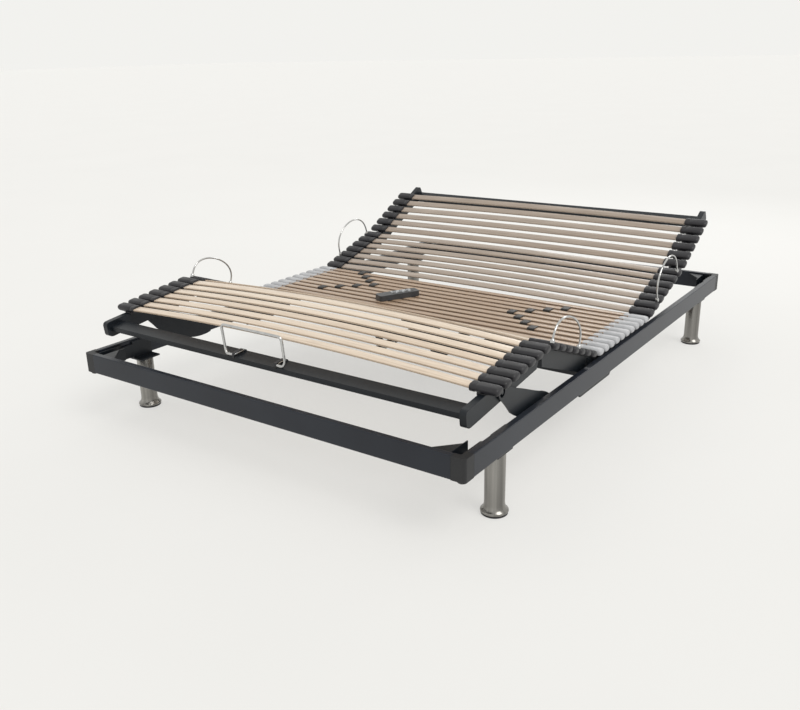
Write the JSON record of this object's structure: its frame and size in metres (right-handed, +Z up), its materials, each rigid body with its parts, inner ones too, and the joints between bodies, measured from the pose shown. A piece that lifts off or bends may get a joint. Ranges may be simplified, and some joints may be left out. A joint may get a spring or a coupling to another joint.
{
  "type": "adjustable bed base",
  "caption": "Adjustable slatted bed base with raised back and legs, anthracite steel frame, satin tube legs, bowed birch slats in rubber caps, chrome hoops, mattress stop and hand control",
  "frame": {"origin": "on the floor, under the middle of the outer frame", "axes": "+Z up, +Y towards the head end, +X to the right seen from the foot end"},
  "size_m": [1.412, 2, 0.5177],
  "materials": {
    "frame_paint": "satin anthracite powder coat",
    "section_paint": "satin dark blue-grey powder coat",
    "corner_plastic": "fine moulded texture",
    "satin_nickel": "satin nickel",
    "chrome": "polished",
    "slat_wood": "lacquered birch plywood",
    "seat_slat_wood": "lacquered birch plywood, darker",
    "cap_rubber": "matt, ribbed",
    "seat_cap_plastic": "matt light grey",
    "slider_plastic": "matt",
    "motor_plastic": "fine moulded texture",
    "remote_plastic": "satin",
    "button_plastic": "satin"
  },
  "bodies": {
    "base": {"side_rail_left": "frame_paint", "side_rail_right": "frame_paint", "end_rail_foot": "frame_paint", "end_rail_head": "frame_paint", "corner_cap_foot_left": "corner_plastic", "corner_cap_foot_right": "corner_plastic", "corner_cap_head_left": "corner_plastic", "corner_cap_head_right": "corner_plastic", "corner_plate_foot_left": "section_paint", "corner_plate_foot_right": "section_paint", "corner_plate_head_left": "section_paint", "corner_plate_head_right": "section_paint", "leg_foot_left": "satin_nickel", "leg_foot_right": "satin_nickel", "leg_head_left": "satin_nickel", "leg_head_right": "satin_nickel", "seat_frame": "section_paint", "seat_slats": "seat_cap_plastic", "head_motor": "motor_plastic", "foot_motor": "motor_plastic", "control_box": "motor_plastic"},
    "back": {"back_frame": "section_paint", "back_slats": "slat_wood", "back_hoop_left": "chrome", "back_hoop_right": "chrome"},
    "head": {"head_frame": "section_paint", "head_slats": "slat_wood"},
    "thigh": {"thigh_frame": "section_paint", "thigh_slats": "slat_wood", "thigh_hoop_left": "chrome", "thigh_hoop_right": "chrome"},
    "foot": {"foot_frame": "section_paint", "foot_slats": "slat_wood", "mattress_stop": "chrome"},
    "lever_left": {"calf_lever_left": "section_paint"},
    "lever_right": {"calf_lever_right": "section_paint"},
    "head_rod": {"head_push_rod": "satin_nickel"},
    "foot_rod": {"foot_push_rod": "satin_nickel"},
    "slider_l1": {"slider_left_1": "slider_plastic"},
    "slider_l2": {"slider_left_2": "slider_plastic"},
    "slider_l3": {"slider_left_3": "slider_plastic"},
    "slider_l4": {"slider_left_4": "slider_plastic"},
    "slider_l5": {"slider_left_5": "slider_plastic"},
    "slider_l6": {"slider_left_6": "slider_plastic"},
    "slider_l7": {"slider_left_7": "slider_plastic"},
    "slider_r1": {"slider_right_1": "slider_plastic"},
    "slider_r2": {"slider_right_2": "slider_plastic"},
    "slider_r3": {"slider_right_3": "slider_plastic"},
    "slider_r4": {"slider_right_4": "slider_plastic"},
    "slider_r5": {"slider_right_5": "slider_plastic"},
    "slider_r6": {"slider_right_6": "slider_plastic"},
    "slider_r7": {"slider_right_7": "slider_plastic"},
    "remote": {"remote_body": "remote_plastic"},
    "button_1": {"remote_button_1": "button_plastic"},
    "button_2": {"remote_button_2": "button_plastic"},
    "button_3": {"remote_button_3": "button_plastic"},
    "button_4": {"remote_button_4": "button_plastic"},
    "button_5": {"remote_button_5": "button_plastic"},
    "button_6": {"remote_button_6": "button_plastic"}
  },
  "joints": [
    {"name": "back_tilt", "type": "hinge", "parent": "base", "child": "back", "pos_m": [0, 0.192, 0.258], "axis": [1, 0, 0], "range_deg": [-17, 28]},
    {"name": "head_fold", "type": "hinge", "parent": "back", "child": "head", "pos_m": [0, 0.51236, 0.35595], "axis": [1, 0, 0], "range_deg": [-10.7, 17.6]},
    {"name": "thigh_tilt", "type": "hinge", "parent": "base", "child": "thigh", "pos_m": [0, -0.242, 0.258], "axis": [-1, 0, 0], "range_deg": [-20.9, 14.1]},
    {"name": "foot_fold", "type": "hinge", "parent": "thigh", "child": "foot", "pos_m": [0, -0.55776, 0.37858], "axis": [1, 0, 0], "range_deg": [-30.1, 20.4]},
    {"name": "lever_left_tilt", "type": "hinge", "parent": "base", "child": "lever_left", "pos_m": [-0.674, -0.56, 0.196], "axis": [-1, 0, 0], "range_deg": [-21.6, 14.6]},
    {"name": "lever_right_tilt", "type": "hinge", "parent": "base", "child": "lever_right", "pos_m": [0.674, -0.56, 0.196], "axis": [-1, 0, 0], "range_deg": [-21.6, 14.6]},
    {"name": "head_drive", "type": "slide", "parent": "base", "child": "head_rod", "axis": [0, 1, 0], "range_m": [-0.0325, 0.0535]},
    {"name": "foot_drive", "type": "slide", "parent": "base", "child": "foot_rod", "axis": [0, -1, 0], "range_m": [-0.0393, 0.0265]},
    {"name": "slider_l1_slide", "type": "slide", "parent": "base", "child": "slider_l1", "axis": [1, 0, 0], "range_m": [-0.1, 0.2]},
    {"name": "slider_l2_slide", "type": "slide", "parent": "base", "child": "slider_l2", "axis": [1, 0, 0], "range_m": [-0.15, 0.17]},
    {"name": "slider_l3_slide", "type": "slide", "parent": "base", "child": "slider_l3", "axis": [1, 0, 0], "range_m": [-0.2, 0.12]},
    {"name": "slider_l4_slide", "type": "slide", "parent": "base", "child": "slider_l4", "axis": [1, 0, 0], "range_m": [-0.25, 0.08]},
    {"name": "slider_l5_slide", "type": "slide", "parent": "base", "child": "slider_l5", "axis": [1, 0, 0], "range_m": [-0.2, 0.12]},
    {"name": "slider_l6_slide", "type": "slide", "parent": "base", "child": "slider_l6", "axis": [1, 0, 0], "range_m": [-0.15, 0.17]},
    {"name": "slider_l7_slide", "type": "slide", "parent": "base", "child": "slider_l7", "axis": [1, 0, 0], "range_m": [-0.1, 0.2]},
    {"name": "slider_r1_slide", "type": "slide", "parent": "base", "child": "slider_r1", "axis": [-1, 0, 0], "range_m": [-0.15, 0.18]},
    {"name": "slider_r2_slide", "type": "slide", "parent": "base", "child": "slider_r2", "axis": [-1, 0, 0], "range_m": [-0.2, 0.12]},
    {"name": "slider_r3_slide", "type": "slide", "parent": "base", "child": "slider_r3", "axis": [-1, 0, 0], "range_m": [-0.22, 0.09]},
    {"name": "slider_r4_slide", "type": "slide", "parent": "base", "child": "slider_r4", "axis": [-1, 0, 0], "range_m": [-0.25, 0.05]},
    {"name": "slider_r5_slide", "type": "slide", "parent": "base", "child": "slider_r5", "axis": [-1, 0, 0], "range_m": [-0.22, 0.09]},
    {"name": "slider_r6_slide", "type": "slide", "parent": "base", "child": "slider_r6", "axis": [-1, 0, 0], "range_m": [-0.2, 0.12]},
    {"name": "slider_r7_slide", "type": "slide", "parent": "base", "child": "slider_r7", "axis": [-1, 0, 0], "range_m": [-0.15, 0.18]},
    {"name": "remote_lift", "type": "slide", "parent": "base", "child": "remote", "axis": [0, 0, 1], "range_m": [0, 0.3]},
    {"name": "button_1_press", "type": "slide", "parent": "remote", "child": "button_1", "axis": [0, 0, -1], "range_m": [0, 0.0014], "stiffness_N_per_m": 300, "springref_m": -0.001},
    {"name": "button_2_press", "type": "slide", "parent": "remote", "child": "button_2", "axis": [0, 0, -1], "range_m": [0, 0.0014], "stiffness_N_per_m": 300, "springref_m": -0.001},
    {"name": "button_3_press", "type": "slide", "parent": "remote", "child": "button_3", "axis": [0, 0, -1], "range_m": [0, 0.0014], "stiffness_N_per_m": 300, "springref_m": -0.001},
    {"name": "button_4_press", "type": "slide", "parent": "remote", "child": "button_4", "axis": [0, 0, -1], "range_m": [0, 0.0014], "stiffness_N_per_m": 300, "springref_m": -0.001},
    {"name": "button_5_press", "type": "slide", "parent": "remote", "child": "button_5", "axis": [0, 0, -1], "range_m": [0, 0.0014], "stiffness_N_per_m": 300, "springref_m": -0.001},
    {"name": "button_6_press", "type": "slide", "parent": "remote", "child": "button_6", "axis": [0, 0, -1], "range_m": [0, 0.0014], "stiffness_N_per_m": 300, "springref_m": -0.001}
  ],
  "couplings": [
    {"joint": "head_fold", "follows": "back_tilt", "ratio": 0.6235},
    {"joint": "head_drive", "follows": "back_tilt", "m_per_rad": 0.109},
    {"joint": "foot_fold", "follows": "thigh_tilt", "ratio": 1.435},
    {"joint": "lever_left_tilt", "follows": "thigh_tilt", "ratio": 1.03},
    {"joint": "lever_right_tilt", "follows": "thigh_tilt", "ratio": 1.03},
    {"joint": "foot_drive", "follows": "thigh_tilt", "m_per_rad": 0.1072}
  ]
}
